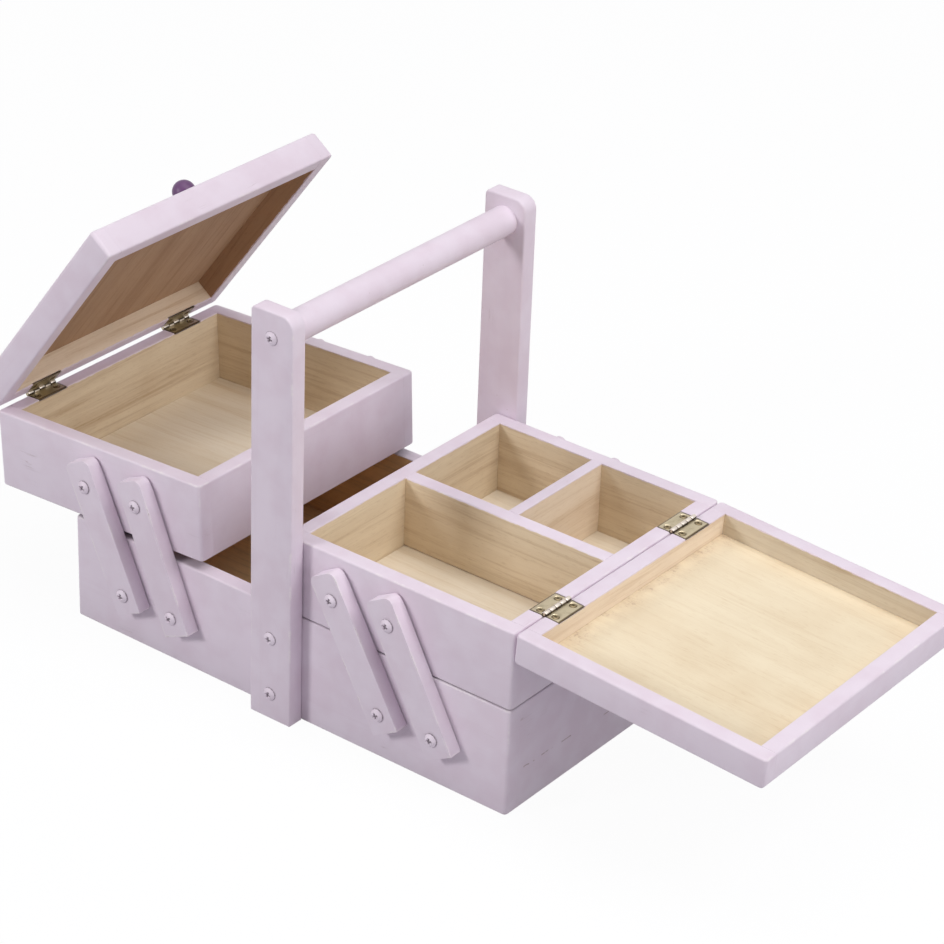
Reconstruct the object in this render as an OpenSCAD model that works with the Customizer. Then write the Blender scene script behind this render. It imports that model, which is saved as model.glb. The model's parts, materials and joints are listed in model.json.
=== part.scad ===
// Wooden sewing carrier: a base box with a fixed handle, and two lidded trays that
// swing out to the sides on pairs of link arms. Front is -Y, the long side runs along X,
// and the origin is the middle of the underside of the base.

/* [Base box] */
// Length of the base box along X
box_l = 250; // [236:1:290]
// Depth of the base box along Y
box_w = 150; // [130:1:190]
// Height of the base box
base_h = 52.5; // [46:0.5:64]
// Thickness of every wall board
board_t = 7.5; // [7:0.25:9]
// Thickness of the base floor
base_floor_t = 4; // [3:0.5:6]
// Radius of the rounded corners of the boxes
corner_r = 2; // [1:0.25:3]

/* [Trays] */
// Height of a tray
tray_h = 38; // [35:0.5:46]
// Thickness of a tray floor
tray_floor_t = 3; // [2:0.5:5]
// Gap between the base rim and a closed tray
tray_seam = 0.3; // [0.2:0.05:0.5]
// Gap between the two trays when both are closed
centre_gap = 1; // [0.6:0.1:2]
// How far the sides of a tray stand in from the faces of the base
tray_side_gap = 0.25; // [0.2:0.05:0.5]
// Thickness of the long divider in the right tray
long_divider_t = 7; // [4:0.5:9]
// Thickness of the cross divider in the right tray
cross_divider_t = 6; // [4:0.5:9]
// Offset of the long divider behind the middle of the tray
long_divider_y = 2; // [-8:0.5:8]
// Offset of the cross divider outwards from the middle of the tray
cross_divider_out = 0.25; // [-18:0.25:18]

/* [Lids] */
// Height of a lid
lid_h = 14.5; // [12:0.5:18]
// Thickness of a lid's panel
lid_panel_t = 4; // [3:0.5:6]
// Angle by which the left lid stands open
left_lid_angle = 50.8; // [0:0.1:120]
// Angle by which the right lid is short of resting on the end of its tray
right_lid_short_angle = 0.03; // [0.03:0.01:90]
// Diameter of a lid knob
knob_d = 11; // [9:0.5:14]
// Distance of a knob's middle from the free edge of its lid
knob_in = 16.3; // [13:0.1:24]

/* [Link arms] */
// Width of a link arm
arm_w = 15; // [12:0.5:17]
// Thickness of a link arm
arm_t = 7; // [5:0.5:9]
// Gap between a link arm and the boards behind it
arm_gap = 0.3; // [0.2:0.05:0.4]
// Length of an arm above its upper pivot
arm_top_end = 12; // [8:0.5:13]
// Length of an arm below its lower pivot
arm_low_end = 9; // [6:0.5:12]
// Radius of the upper corners of an arm
arm_corner_r = 3.5; // [1:0.25:5]
// Height of the lower pivots above the underside
base_pivot_z = 27; // [22:0.5:32]
// Distance of the outer arm's lower pivot from the end of the base
base_pivot_in = 35.5; // [33:0.5:38]
// Distance between the two lower pivots of one side
base_pivot_gap = 29.5; // [28:0.5:31]
// Distance between the two upper pivots of one side
tray_pivot_gap = 31; // [30:0.5:32]
// Distance of the outer arm's upper pivot from the outer end of its tray
tray_pivot_in = 60.9; // [59:0.1:63]
// Height of the upper pivots above the underside of a tray
tray_pivot_z = 20.8; // [18:0.2:23]
// Angle by which the left outer arm leans outwards
left_arm_angle = 25; // [0:0.5:25]

/* [Handle] */
// Width of an upright
upright_w = 23; // [18:0.5:28]
// Thickness of an upright
upright_t = 8.5; // [7:0.5:11]
// Height of the uprights above the underside of the base
upright_h = 200; // [180:1:240]
// Radius of the upper left corner of an upright
upright_left_r = 2.5; // [1:0.5:6]
// Radius of the upper right corner of an upright
upright_right_r = 6; // [1:0.5:9]
// Diameter of the round handle bar
bar_d = 14; // [12:0.5:18]
// Distance of the bar's middle below the top of the uprights
bar_drop = 12; // [10:0.5:20]
// Height of an upright's lower screw
low_screw_z = 13; // [9:0.5:18]
// Distance of an upright's middle screw below the rim of the base
high_screw_drop = 11; // [8:0.5:14]

/* [Wood screws] */
// Diameter of a screw shank
shank_d = 3; // [2.5:0.1:3.5]
// Diameter of a round screw head
head_d = 6.5; // [5:0.1:7]
// Height of a round screw head
head_h = 2; // [1.5:0.1:2.6]
// Length of screw held in a board
bite = 6; // [4:0.5:6.5]
// Length of screw held in the end of the handle bar
bar_bite = 16; // [10:1:24]

/* [Hinges] */
// Length of a hinge along its pin
hinge_l = 18; // [14:0.5:22]
// Distance of each hinge from the middle of the tray
hinge_y = 46; // [30:0.5:52]
// Width of a hinge leaf
leaf_w = 7.2; // [6:0.1:7.4]
// Thickness of a hinge leaf
leaf_t = 0.8; // [0.6:0.05:1]
// Diameter of a hinge pin
pin_d = 1.2; // [1:0.05:1.4]
// How far the pin stands outside the end boards
pin_out = 0.4; // [0.4:0.05:0.6]
// How far the pin lies above the tray rim
pin_up = 0.4; // [0.3:0.05:0.5]
// Distance between the two screws of a leaf
leaf_screw_gap = 12.2; // [8:0.2:13]
// Diameter of a hinge screw's head
leaf_head_d = 3.6; // [3:0.1:4]
// Length of a hinge screw
leaf_screw_l = 6; // [4:0.5:8]

/* [Hidden] */

paint = [0.79, 0.75, 0.80];
bare = [0.88, 0.79, 0.65];
metal = [0.78, 0.76, 0.68];
plum = [0.33, 0.20, 0.42];

$fn = 48;
arc_steps = 6;
running_fit = 0.075;
hold_fit = 0.05;
loose_fit = 0.4;
leaf_fit = 0.1;
head_clear = 0.15;
peg_d = 4;
peg_clear = 0.05;
knob_flat = 0.06;
recess_w = 0.9;
recess_depth = 1.1;
cut_over = 1;

half_l = box_l / 2;
half_w = box_w / 2;
base_inner_w = box_w - 2 * board_t;
tray_half_w = half_w - tray_side_gap;
tray_inner_w = 2 * (tray_half_w - board_t);
tray_z = base_h + tray_seam;
rim_z = tray_z + tray_h;
tray_in = centre_gap / 2;
tray_l = half_l - tray_in;
pin_x = half_l + pin_out;
pin_z = rim_z + pin_up;
lid_z = rim_z + 2 * pin_up;
barrel_r = leaf_t + pin_up;
knob_x = tray_in + knob_in;
peg_depth = lid_panel_t * 0.6;
high_screw_z = base_h - high_screw_drop;
leaf_screw_x = half_l - leaf_w / 2;
arm_y = half_w + arm_gap;
bar_z = upright_h - bar_drop;

// The side view of one linkage, drawn for the right side with outward as +x.
low_outer = [half_l - base_pivot_in, base_pivot_z];
low_inner = low_outer - [base_pivot_gap, 0];
top_outer = [half_l - tray_pivot_in, tray_z + tray_pivot_z];
top_inner = top_outer - [tray_pivot_gap, 0];
outer_len = norm(top_outer - low_outer);
inner_len = norm(top_inner - low_inner);

function lean_of(low, top) = atan2(top[0] - low[0], top[1] - low[1]);
function outer_top_at(lean) = low_outer + outer_len * [sin(lean), cos(lean)];
// Tilt of the tray that closes the four-bar linkage, outer end down.
function tilt_at(lean) =
  let (
    c = outer_top_at(lean),
    v = low_inner - c,
    d = norm(v),
    a = acos((tray_pivot_gap ^ 2 + d ^ 2 - inner_len ^ 2) / (2 * tray_pivot_gap * d))
  ) a - atan2(v[1], v[0]) - 180;
function inner_top_at(lean) =
  outer_top_at(lean) + tray_pivot_gap * [-cos(tilt_at(lean)), sin(tilt_at(lean))];

// How far past level a lid turns before its rounded edge meets the end of the tray.
lid_edge = [pin_out + corner_r, pin_up + lid_h - corner_r];
lid_droop = acos((corner_r - pin_out) / norm(lid_edge)) - atan2(lid_edge[1], lid_edge[0]);
right_lid_angle = 180 + lid_droop - right_lid_short_angle;

closed_lean = lean_of(low_outer, top_outer);
left_inner_lean = lean_of(low_inner, inner_top_at(left_arm_angle));
right_inner_lean = lean_of(low_inner, top_inner);

// Placements. A side's pieces are drawn closed, for the right side.
module right_tray_at() children();
module left_tray_at()
  mirror([1, 0, 0])
    translate([outer_top_at(left_arm_angle)[0], 0, outer_top_at(left_arm_angle)[1]])
      rotate([0, tilt_at(left_arm_angle), 0])
        translate([-top_outer[0], 0, -top_outer[1]])
          children();
module lid_turned(angle)
  translate([pin_x, 0, pin_z])
    rotate([0, angle, 0])
      translate([-pin_x, 0, -pin_z])
        children();
module right_lid_at() right_tray_at() lid_turned(right_lid_angle) children();
module left_lid_at() left_tray_at() lid_turned(left_lid_angle) children();
module arm_at(low, lean) translate([low[0], 0, low[1]]) rotate([0, lean, 0]) children();
module left_side() mirror([1, 0, 0]) children();
module rear_side() mirror([0, 1, 0]) children();

// Flat outline of a board from x = a to x = b, its outer face at y = 0 and its outer
// corners rounded.
module corner_outline(a, b, t, ra, rb)
  polygon([
    for (i = [0 : arc_steps]) [a + ra * (1 - cos(90 * i / arc_steps)),
                               ra * (1 - sin(90 * i / arc_steps))],
    for (i = [arc_steps : -1 : 0]) [b - rb * (1 - cos(90 * i / arc_steps)),
                                    rb * (1 - sin(90 * i / arc_steps))],
    [b, t], [a, t]
  ]);

// Flat outline from x = a to x = b and w to each side of y = 0, all corners rounded.
module plan_outline(a, b, w, r)
  polygon([
    for (q = [0 : 3], i = [0 : arc_steps])
      let (
        turn = 90 * (q + i / arc_steps),
        right = cos(90 * q + 45) > 0,
        back = sin(90 * q + 45) > 0
      ) [(right ? b - r : a + r) + r * cos(turn), (back ? w - r : r - w) + r * sin(turn)]
  ]);

// A front board, lying from x = a to x = b with its outer face at y = -w.
module front_board(a, b, h, w)
  translate([0, -w, 0])
    linear_extrude(h) corner_outline(a, b, board_t, corner_r, corner_r);

// Outline with rounded upper corners, from z = low to z = high and w wide.
module strap_outline(w, low, high, ra, rb)
  polygon([
    [-w / 2, low],
    for (i = [0 : arc_steps]) [-w / 2 + ra * (1 - cos(90 * i / arc_steps)),
                               high - ra * (1 - sin(90 * i / arc_steps))],
    for (i = [arc_steps : -1 : 0]) [w / 2 - rb * (1 - cos(90 * i / arc_steps)),
                                    high - rb * (1 - sin(90 * i / arc_steps))],
    [w / 2, low]
  ]);

// A hole along Y, from y = a to y = b.
module y_hole(x, z, d, a, b)
  translate([x, b, z]) rotate([90, 0, 0]) cylinder(d = d, h = b - a);

// A round-headed cross-recess screw along +Y, its head's underside at y = 0.
module round_screw(length)
  rotate([-90, 0, 0]) difference() {
    union() {
      cylinder(d = shank_d, h = length);
      rotate_extrude()
        polygon([
          [0, 0],
          for (i = [0 : arc_steps]) [head_d / 2 * cos(90 * i / arc_steps),
                                     -head_h * sin(90 * i / arc_steps)]
        ]);
    }
    for (turn = [0, 90])
      rotate([0, 0, turn])
        translate([-head_d / 3, -recess_w / 2, -head_h - cut_over])
          cube([head_d * 2 / 3, recess_w, cut_over + recess_depth]);
  }

// A countersunk hinge screw pointing down, the top of its head at z = 0.
module leaf_screw()
  difference() {
    union() {
      translate([0, 0, -leaf_t]) cylinder(d1 = shank_d / 2, d2 = leaf_head_d, h = leaf_t);
      translate([0, 0, -leaf_screw_l]) cylinder(d = shank_d / 2, h = leaf_screw_l - leaf_t / 2);
    }
    for (turn = [0, 90])
      rotate([0, 0, turn])
        translate([-leaf_head_d / 3, -recess_w / 4, -leaf_t / 2])
          cube([leaf_head_d * 2 / 3, recess_w / 2, leaf_t]);
  }

module at_leaf_screws()
  for (hinge = [-1, 1], end = [-1, 1])
    translate([leaf_screw_x, hinge * hinge_y + end * leaf_screw_gap / 2, 0])
      children();

// What a rim loses to its two hinges: shallow seats for the leaves, and screw holes.
module hinge_seats()
  union() {
    for (hinge = [-1, 1])
      translate([half_l - leaf_w - leaf_fit, hinge * hinge_y - hinge_l / 2 - leaf_fit,
                 rim_z - leaf_t - leaf_fit / 2])
        cube([leaf_w + 2 * cut_over, hinge_l + 2 * leaf_fit, leaf_t + 2 * cut_over]);
    at_leaf_screws()
      translate([0, 0, rim_z - leaf_screw_l - hold_fit])
        cylinder(d = shank_d / 2 + 2 * hold_fit, h = leaf_screw_l);
  }

// Turns a shape at the tray's rim over to the lid's rim, about the line between them.
module onto_lid()
  translate([0, 0, 2 * pin_z]) mirror([0, 0, 1]) children();

// Two hinge leaves with every other knuckle, starting with the first or the second.
module leaves(first) {
  knuckles = 5;
  knuckle_l = hinge_l / knuckles;
  for (hinge = [-1, 1])
    translate([0, hinge * hinge_y - hinge_l / 2, 0])
      difference() {
        union() {
          translate([half_l - leaf_w, 0, rim_z - leaf_t])
            cube([leaf_w - leaf_fit, hinge_l, leaf_t]);
          for (k = [first : 2 : knuckles - 1])
            translate([0, k * knuckle_l + leaf_fit, 0]) {
              translate([pin_x, knuckle_l - 2 * leaf_fit, pin_z])
                rotate([90, 0, 0]) cylinder(r = barrel_r, h = knuckle_l - 2 * leaf_fit);
              translate([half_l - leaf_w / 2, 0, rim_z - leaf_t])
                cube([leaf_w / 2 + pin_out, knuckle_l - 2 * leaf_fit, leaf_t]);
            }
        }
        // Clears the barrel of the other leaf's knuckles.
        for (k = [1 - first : 2 : knuckles - 1])
          translate([pin_x, (k + 1) * knuckle_l + leaf_fit, pin_z])
            rotate([90, 0, 0]) cylinder(r = barrel_r + leaf_fit, h = knuckle_l + 2 * leaf_fit);
        translate([pin_x, hinge_l + cut_over, pin_z])
          rotate([90, 0, 0]) cylinder(d = pin_d + 2 * hold_fit, h = hinge_l + 2 * cut_over);
        for (end = [-1, 1])
          translate([leaf_screw_x, hinge_l / 2 + end * leaf_screw_gap / 2, rim_z - leaf_t])
            cylinder(d1 = shank_d / 2 + 2 * hold_fit, d2 = leaf_head_d + 2 * hold_fit, h = leaf_t);
      }
}

// Base box
module base_front()
  color(paint) difference() {
    front_board(-half_l, half_l, base_h, half_w);
    for (side = [-1, 1], p = [low_inner, low_outer])
      y_hole(side * p[0], p[1], shank_d + 2 * hold_fit, -half_w - cut_over,
             -half_w + bite + hold_fit);
    for (z = [low_screw_z, high_screw_z])
      y_hole(0, z, shank_d + 2 * hold_fit, -half_w - cut_over, -half_w + bite + hold_fit);
  }
module base_end()
  color(paint)
    translate([half_l - board_t, -base_inner_w / 2, 0]) cube([board_t, base_inner_w, base_h]);
module base_floor()
  color(bare)
    translate([-half_l + board_t, -base_inner_w / 2, 0])
      cube([box_l - 2 * board_t, base_inner_w, base_floor_t]);

// Handle
module upright()
  color(paint) difference() {
    translate([0, -half_w, 0]) rotate([90, 0, 0])
      linear_extrude(upright_t)
        strap_outline(upright_w, 0, upright_h, upright_left_r, upright_right_r);
    for (z = [low_screw_z, high_screw_z, bar_z])
      y_hole(0, z, shank_d + 2 * hold_fit, -half_w - upright_t - cut_over, -half_w + cut_over);
  }
module handle_bar()
  color(paint) difference() {
    y_hole(0, bar_z, bar_d, -half_w, half_w);
    y_hole(0, bar_z, shank_d + 2 * hold_fit, -half_w - cut_over, -half_w + bar_bite + hold_fit);
    y_hole(0, bar_z, shank_d + 2 * hold_fit, half_w - bar_bite - hold_fit, half_w + cut_over);
  }
module handle_screws()
  color(paint)
    for (turn = [0, 180])
      rotate([0, 0, turn])
        translate([0, -half_w - upright_t, 0]) {
          translate([0, 0, bar_z]) round_screw(upright_t + bar_bite);
          for (z = [low_screw_z, high_screw_z])
            translate([0, 0, z]) round_screw(upright_t + bite);
        }

// Link arms and their screws
module arm(low, lean, length, low_fit, top_fit)
  color(paint) arm_at(low, lean) difference() {
    translate([0, -arm_y, 0]) rotate([90, 0, 0])
      linear_extrude(arm_t)
        strap_outline(arm_w, -arm_low_end, length + arm_top_end, arm_corner_r, arm_corner_r);
    y_hole(0, 0, shank_d + 2 * low_fit, -arm_y - arm_t - cut_over, -arm_y + cut_over);
    y_hole(0, length, shank_d + 2 * top_fit, -arm_y - arm_t - cut_over, -arm_y + cut_over);
  }
module pivot_screw() round_screw(head_clear + arm_t + arm_gap + bite);
module pivot_pair(points)
  for (p = points, turn = [0, 1])
    mirror([0, turn, 0])
      translate([p[0], -arm_y - arm_t - head_clear, p[1]]) pivot_screw();
module base_pivot_screws()
  color(paint)
    for (side = [0, 1])
      mirror([side, 0, 0]) pivot_pair([low_inner, low_outer]);
module tray_pivot_screws() color(paint) pivot_pair([top_inner, top_outer]);
module outer_arm(lean) arm(low_outer, lean, outer_len, running_fit, running_fit);
module inner_arm(lean) arm(low_inner, lean, inner_len, running_fit, loose_fit);

// Trays
module tray_front()
  color(paint) difference() {
    translate([0, 0, tray_z]) front_board(tray_in, half_l, tray_h, tray_half_w);
    for (p = [top_inner, top_outer])
      y_hole(p[0], p[1], shank_d + 2 * hold_fit, -half_w - cut_over, -half_w + bite + hold_fit);
  }
module tray_inner_end()
  color(paint)
    translate([tray_in, -tray_inner_w / 2, tray_z]) cube([board_t, tray_inner_w, tray_h]);
module tray_outer_end()
  color(paint) difference() {
    translate([half_l - board_t, -tray_inner_w / 2, tray_z]) cube([board_t, tray_inner_w, tray_h]);
    hinge_seats();
  }
module tray_floor()
  color(bare)
    translate([tray_in + board_t, -tray_inner_w / 2, tray_z])
      cube([tray_l - 2 * board_t, tray_inner_w, tray_floor_t]);
module long_divider()
  color(paint)
    translate([tray_in + board_t, long_divider_y - long_divider_t / 2, tray_z + tray_floor_t])
      cube([tray_l - 2 * board_t, long_divider_t, tray_h - tray_floor_t]);
module cross_divider()
  color(paint)
    translate([tray_in + tray_l / 2 + cross_divider_out - cross_divider_t / 2,
               long_divider_y + long_divider_t / 2, tray_z + tray_floor_t])
      cube([cross_divider_t, tray_inner_w / 2 - long_divider_y - long_divider_t / 2,
            tray_h - tray_floor_t]);
module hinge_tray_leaves() color(metal) leaves(0);
module hinge_tray_screws() color(metal) translate([0, 0, rim_z]) at_leaf_screws() leaf_screw();
module hinge_pins()
  color(metal)
    for (hinge = [-1, 1])
      translate([pin_x, hinge * hinge_y + hinge_l / 2, pin_z])
        rotate([90, 0, 0]) cylinder(d = pin_d, h = hinge_l);

// Lids
// Outer shape of a lid, with its upper edges and its corners rounded.
module lid_block() {
  translate([0, 0, lid_z]) intersection() {
    linear_extrude(lid_h) plan_outline(tray_in, half_l, tray_half_w, corner_r);
    translate([0, half_w, lid_h]) rotate([90, 0, 0])
      linear_extrude(box_w) mirror([0, 1])
        corner_outline(tray_in, half_l, lid_h, corner_r, corner_r);
    translate([tray_in, 0, lid_h]) rotate([90, 0, 90])
      linear_extrude(tray_l) mirror([0, 1])
        corner_outline(-tray_half_w, tray_half_w, lid_h, corner_r, corner_r);
  }
}
module lid_front()
  color(paint) intersection() {
    lid_block();
    translate([tray_in, -tray_half_w, lid_z]) cube([tray_l, board_t, lid_h]);
  }
module lid_free_end()
  color(paint) intersection() {
    lid_block();
    translate([tray_in, -tray_inner_w / 2, lid_z]) cube([board_t, tray_inner_w, lid_h]);
  }
module lid_hinge_end()
  color(paint) difference() {
    intersection() {
      lid_block();
      translate([half_l - board_t, -tray_inner_w / 2, lid_z]) cube([board_t, tray_inner_w, lid_h]);
    }
    onto_lid() hinge_seats();
  }
module lid_panel()
  color(bare) difference() {
    translate([tray_in + board_t, -tray_inner_w / 2, lid_z + lid_h - lid_panel_t])
      cube([tray_l - 2 * board_t, tray_inner_w, lid_panel_t]);
    translate([knob_x, 0, lid_z + lid_h - peg_depth - peg_clear])
      cylinder(d = peg_d + 2 * peg_clear, h = peg_depth + cut_over);
  }
module lid_knob()
  color(plum)
    translate([knob_x, 0, lid_z + lid_h]) {
      difference() {
        translate([0, 0, knob_d / 2 - knob_d * knob_flat]) sphere(d = knob_d);
        translate([0, 0, -knob_d]) cylinder(d = 2 * knob_d, h = knob_d);
      }
      translate([0, 0, -peg_depth]) cylinder(d = peg_d, h = peg_depth + knob_d / 2);
    }
module hinge_lid_leaves() color(metal) onto_lid() leaves(1);
module hinge_lid_screws()
  color(metal) onto_lid() translate([0, 0, rim_z]) at_leaf_screws() leaf_screw();

base_front();
rear_side() base_front();  // base_rear
left_side() base_end();  // base_left_end
base_end();  // base_right_end
base_floor();
upright();  // upright_front
rear_side() upright();  // upright_rear
handle_bar();
handle_screws();
base_pivot_screws();

left_side() outer_arm(left_arm_angle);  // left_outer_arm_front
rear_side() left_side() outer_arm(left_arm_angle);  // left_outer_arm_rear
left_side() inner_arm(left_inner_lean);  // left_inner_arm_front
rear_side() left_side() inner_arm(left_inner_lean);  // left_inner_arm_rear
left_tray_at() tray_front();  // left_tray_front
left_tray_at() rear_side() tray_front();  // left_tray_rear
left_tray_at() tray_inner_end();  // left_tray_inner_end
left_tray_at() tray_outer_end();  // left_tray_outer_end
left_tray_at() tray_floor();  // left_tray_floor
left_tray_at() tray_pivot_screws();  // left_tray_pivot_screws
left_tray_at() hinge_tray_leaves();  // left_hinge_tray_leaves
left_tray_at() hinge_tray_screws();  // left_hinge_tray_screws
left_tray_at() hinge_pins();  // left_hinge_pins
left_lid_at() lid_front();  // left_lid_front
left_lid_at() rear_side() lid_front();  // left_lid_rear
left_lid_at() lid_hinge_end();  // left_lid_hinge_end
left_lid_at() lid_free_end();  // left_lid_free_end
left_lid_at() lid_panel();  // left_lid_panel
left_lid_at() lid_knob();  // left_lid_knob
left_lid_at() hinge_lid_leaves();  // left_hinge_lid_leaves
left_lid_at() hinge_lid_screws();  // left_hinge_lid_screws

outer_arm(closed_lean);  // right_outer_arm_front
rear_side() outer_arm(closed_lean);  // right_outer_arm_rear
inner_arm(right_inner_lean);  // right_inner_arm_front
rear_side() inner_arm(right_inner_lean);  // right_inner_arm_rear
right_tray_at() tray_front();  // right_tray_front
right_tray_at() rear_side() tray_front();  // right_tray_rear
right_tray_at() tray_inner_end();  // right_tray_inner_end
right_tray_at() tray_outer_end();  // right_tray_outer_end
right_tray_at() tray_floor();  // right_tray_floor
right_tray_at() long_divider();  // right_tray_long_divider
right_tray_at() cross_divider();  // right_tray_cross_divider
right_tray_at() tray_pivot_screws();  // right_tray_pivot_screws
right_tray_at() hinge_tray_leaves();  // right_hinge_tray_leaves
right_tray_at() hinge_tray_screws();  // right_hinge_tray_screws
right_tray_at() hinge_pins();  // right_hinge_pins
right_lid_at() lid_front();  // right_lid_front
right_lid_at() rear_side() lid_front();  // right_lid_rear
right_lid_at() lid_hinge_end();  // right_lid_hinge_end
right_lid_at() lid_free_end();  // right_lid_free_end
right_lid_at() lid_panel();  // right_lid_panel
right_lid_at() lid_knob();  // right_lid_knob
right_lid_at() hinge_lid_leaves();  // right_hinge_lid_leaves
right_lid_at() hinge_lid_screws();  // right_hinge_lid_screws
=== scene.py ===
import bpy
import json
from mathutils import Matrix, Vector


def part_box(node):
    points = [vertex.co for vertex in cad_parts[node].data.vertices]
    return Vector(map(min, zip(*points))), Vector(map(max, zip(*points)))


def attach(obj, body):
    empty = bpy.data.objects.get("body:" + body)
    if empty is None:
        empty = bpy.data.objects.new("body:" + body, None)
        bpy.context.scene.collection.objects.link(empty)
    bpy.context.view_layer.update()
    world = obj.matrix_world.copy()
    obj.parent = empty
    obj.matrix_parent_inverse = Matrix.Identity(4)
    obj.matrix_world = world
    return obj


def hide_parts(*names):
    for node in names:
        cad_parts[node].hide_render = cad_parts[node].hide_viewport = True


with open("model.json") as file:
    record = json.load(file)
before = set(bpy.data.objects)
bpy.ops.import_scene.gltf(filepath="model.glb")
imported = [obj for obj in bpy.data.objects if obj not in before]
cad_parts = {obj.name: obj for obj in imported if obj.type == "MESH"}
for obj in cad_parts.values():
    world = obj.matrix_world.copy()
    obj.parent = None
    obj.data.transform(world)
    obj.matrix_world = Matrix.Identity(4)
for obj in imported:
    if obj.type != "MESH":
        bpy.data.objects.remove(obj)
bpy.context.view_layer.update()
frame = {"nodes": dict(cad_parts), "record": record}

import itertools
import json
import math

import bmesh
import bpy
import numpy as np
from bpy.props import FloatProperty, FloatVectorProperty, IntProperty, PointerProperty
from bpy.types import Operator, Panel, PropertyGroup
from mathutils import Matrix, Vector

bl_info = {
    "name": "Cantilever sewing carrier",
    "version": (1, 0, 0),
    "blender": (4, 5, 0),
    "location": "View3D > Sidebar > Carrier",
    "description": "Painted boards, bare wood, screws and hinges for a cantilever sewing carrier",
    "category": "Object",
}

MM = 0.001
SIDES = ("left", "right")
OUTWARD = {"left": -1, "right": 1}


def length(name, about, millimetres):
    """A size in metres for a property group, with its default given in millimetres."""
    return FloatProperty(name=name, description=about, default=millimetres * MM, min=0.0, unit="LENGTH")


def turn(name, about, degrees):
    """An angle for a property group, with its default given in degrees."""
    return FloatProperty(name=name, description=about, default=math.radians(degrees), unit="ROTATION")


def plain(name, about, value):
    """A number without a unit for a property group."""
    return FloatProperty(name=name, description=about, default=value, min=0.0)


def tint(name, about, red, green, blue):
    """A colour for a property group, written as the 0 to 255 values that it shows as."""
    shown = [channel / 255 for channel in (red, green, blue)]
    linear = [c / 12.92 if c <= 0.04045 else ((c + 0.055) / 1.055) ** 2.4 for c in shown]
    return FloatVectorProperty(
        name=name, description=about, default=linear, size=3, min=0.0, max=1.0, subtype="COLOR"
    )


class CarrierSizes(PropertyGroup):
    """Sizes that the finish of the boards and the small metal parts needs."""

    corner: length("Corner", "Radius of the rounded outer corners of the boxes", 2.0)
    edge: length("Edge", "Radius of the sanded edges of the boards", 0.95)
    inner_edge: length("Inner edge", "Radius of the edges on the inner side of a board", 0.22)
    joint_edge: length("Joint edge", "Radius of the edges that meet another board", 0.04)
    arm_corner: length("Arm corner", "Radius of the upper corners of a link arm", 3.5)
    arm_edge: length("Arm edge", "Radius of the sanded edges of a link arm", 0.75)
    upright_left_corner: length("Left corner", "Radius of an upright's upper left corner", 2.5)
    upright_right_corner: length("Right corner", "Radius of an upright's upper right corner", 6.0)
    seat_gap: length("Seat gap", "Gap round a hinge leaf in its seat", 0.3)
    slot_width: length("Slot width", "Width of the cross recess in a round screw head", 1.0)
    slot_depth: length("Slot depth", "Depth of the cross recess in a round screw head", 1.0)
    leaf_slot_width: length("Leaf slot width", "Width of the cross recess in a hinge screw", 0.65)
    leaf_slot_depth: length("Leaf slot depth", "Depth of the cross recess in a hinge screw", 0.45)
    leaf_dome: length("Leaf dome", "How far a hinge screw's head stands out of its leaf", 0.25)
    leaf_edge: length("Leaf edge", "Radius of the edges of a hinge leaf", 0.12)
    knuckle_gap: length("Knuckle gap", "Gap between the knuckles of a hinge", 0.45)
    knuckles: IntProperty(name="Knuckles", description="Number of knuckles of a hinge", default=5, min=3)
    paint_wrap: length("Paint wrap", "How far the paint runs over a rim onto the bare side", 0.5)


class CarrierColours(PropertyGroup):
    """Colours of the finishes."""

    paint: tint("Paint", "Lavender paint", 232, 219, 231)
    paint_thin: tint("Thin paint", "Paint where it is thin and the wood shows through", 225, 208, 221)
    bare: tint("Bare wood", "Bare wood of the walls", 231, 214, 187)
    streak: tint("Streak", "Darker streaks in the bare wood", 186, 157, 123)
    pale: tint("Pale wood", "Bare wood of the cross divider and the lids", 244, 227, 206)
    pale_streak: tint("Pale streak", "Darker streaks in the pale wood", 208, 180, 148)
    ply: tint("Plywood", "Bare floors of the trays", 238, 226, 206)
    ply_streak: tint("Plywood streak", "Darker streaks in the floors", 214, 193, 160)
    panel: tint("Panel", "Bare inner sides of the lid panels", 242, 227, 199)
    panel_streak: tint("Panel streak", "Darker streaks in the lid panels", 216, 190, 154)
    # Painted shade: the left lid's panel gets a darker copy of the panel wood, for its inner side that faces
    # away from the light.
    shaded_panel: tint("Darker panel", "Bare inner side of the left lid's panel", 184, 152, 124)
    shaded_streak: tint("Darker panel streak", "Darker streaks in the left lid's panel", 142, 106, 80)
    # Painted shade: the long walls of the right lid get a darker copy of the lid wood for their shaded inner
    # faces.
    shaded_lid_side: tint("Lid side", "Bare wood of the long walls of the lids", 220, 208, 188)
    shaded_lid_streak: tint("Lid side streak", "Darker streaks in the long walls of the lids", 184, 162, 133)
    # Painted shade: a darker copy of the lid wood for the left lid's long walls, whose inner sides face away
    # from the light.
    shaded_side: tint("Darker lid side", "Bare wood of the long walls of the left lid", 184, 148, 116)
    base_wood: tint("Base wood", "Bare wood inside the base", 238, 200, 148)
    nickel: tint("Nickel", "Dull plating of the hinges", 194, 181, 154)
    # The lighter knuckle plating is a painted highlight on the knuckles of the hinges.
    knuckle: tint("Knuckle", "Plating that use has polished on the knuckles", 216, 206, 196)
    screw_metal: tint("Hinge screw", "Darker metal of the screws in the hinges", 134, 118, 92)
    knob: tint("Knob", "Purple paint of the knobs", 106, 72, 112)
    floor: tint("Floor", "Surface that the carrier stands on", 179, 179, 184)


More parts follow.
